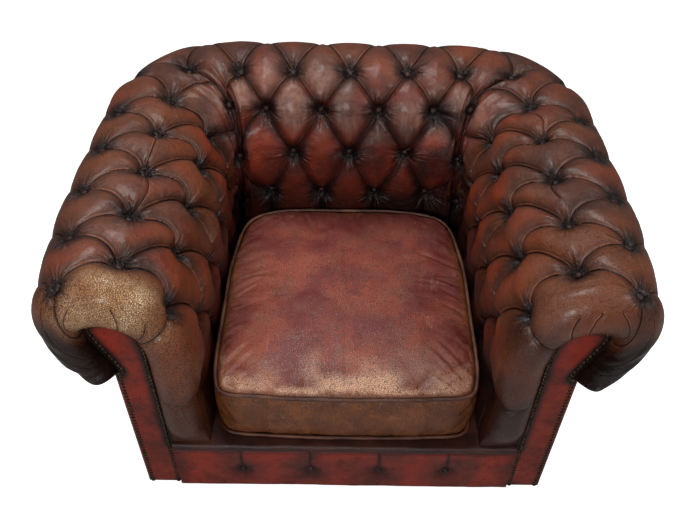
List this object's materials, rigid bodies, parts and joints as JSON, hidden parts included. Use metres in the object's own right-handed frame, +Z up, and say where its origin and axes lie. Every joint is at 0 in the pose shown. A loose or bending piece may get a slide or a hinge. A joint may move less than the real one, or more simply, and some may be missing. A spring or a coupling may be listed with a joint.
{
  "type": "deep buttoned club chair",
  "caption": "Worn deep buttoned leather club chair with rolled arms and a rolled back of one height, nailed arm facings, a loose box cushion and a buttoned front border.",
  "frame": {"origin": "on the floor under the middle of the chair's overall box", "axes": "+Z up, -Y the way the sitter faces, +X to the sitter's left as the chair is seen from the front on the viewer's right"},
  "size_m": [1.1428, 0.9438, 0.7332],
  "materials": {
    "roll_leather": "worn brown to oxblood leather, satin, grained, rubbed on the crowns and dark in the pits",
    "facing_leather": "deep red leather, satin, dark at the edges",
    "panel_leather": "dark red-brown leather, satin",
    "cushion_leather": "worn red-brown pebbled leather, paler along the front edge",
    "piping_leather": "rubbed pale brown piping leather",
    "button_leather": "dark red-brown leather buttons, satin",
    "filling": "hair and wadding filling under hessian, matt",
    "frame_timber": "unfinished hardwood",
    "foot_timber": "dark stained turned hardwood, satin",
    "webbing": "jute webbing, matt",
    "nails": "dark antique bronze nail heads",
    "dust_cloth": "black base cloth, matt"
  },
  "bodies": {
    "root": {"back_buttoned_cover": "roll_leather", "arm_buttoned_cover_left": "roll_leather", "arm_buttoned_cover_right": "roll_leather", "back_stuffing": "filling", "arm_stuffing_left": "filling", "arm_stuffing_right": "filling", "facing_leather_left": "facing_leather", "facing_leather_right": "facing_leather", "facing_board_left": "frame_timber", "facing_board_right": "frame_timber", "facing_nail_row_left": "nails", "facing_nail_row_right": "nails", "outside_back_panel": "panel_leather", "outside_arm_panel_left": "panel_leather", "outside_arm_panel_right": "panel_leather", "front_rail": "frame_timber", "base_back_rail": "frame_timber", "top_back_rail": "frame_timber", "back_tacking_rail": "frame_timber", "side_rail_left": "frame_timber", "side_rail_right": "frame_timber", "back_post_left": "frame_timber", "back_post_right": "frame_timber", "front_corner_block_left": "frame_timber", "front_corner_block_right": "frame_timber", "arm_rail_left": "frame_timber", "arm_rail_right": "frame_timber", "arm_tacking_rail_left": "frame_timber", "arm_tacking_rail_right": "frame_timber", "foot_front_left": "foot_timber", "foot_front_right": "foot_timber", "foot_back_left": "foot_timber", "foot_back_right": "foot_timber", "seat_strap_1": "webbing", "seat_strap_2": "webbing", "seat_strap_3": "webbing", "seat_strap_4": "webbing", "seat_strap_5": "webbing", "seat_strap_6": "webbing", "platform_pad": "filling", "platform_cover": "panel_leather", "platform_lip": "panel_leather", "front_border": "facing_leather", "front_button_1": "button_leather", "front_button_2": "button_leather", "front_button_3": "button_leather", "front_button_4": "button_leather", "seat_cushion": "cushion_leather", "cushion_piping_top": "piping_leather", "cushion_piping_bottom": "piping_leather", "dust_cover": "dust_cloth"}
  },
  "joints": []
}
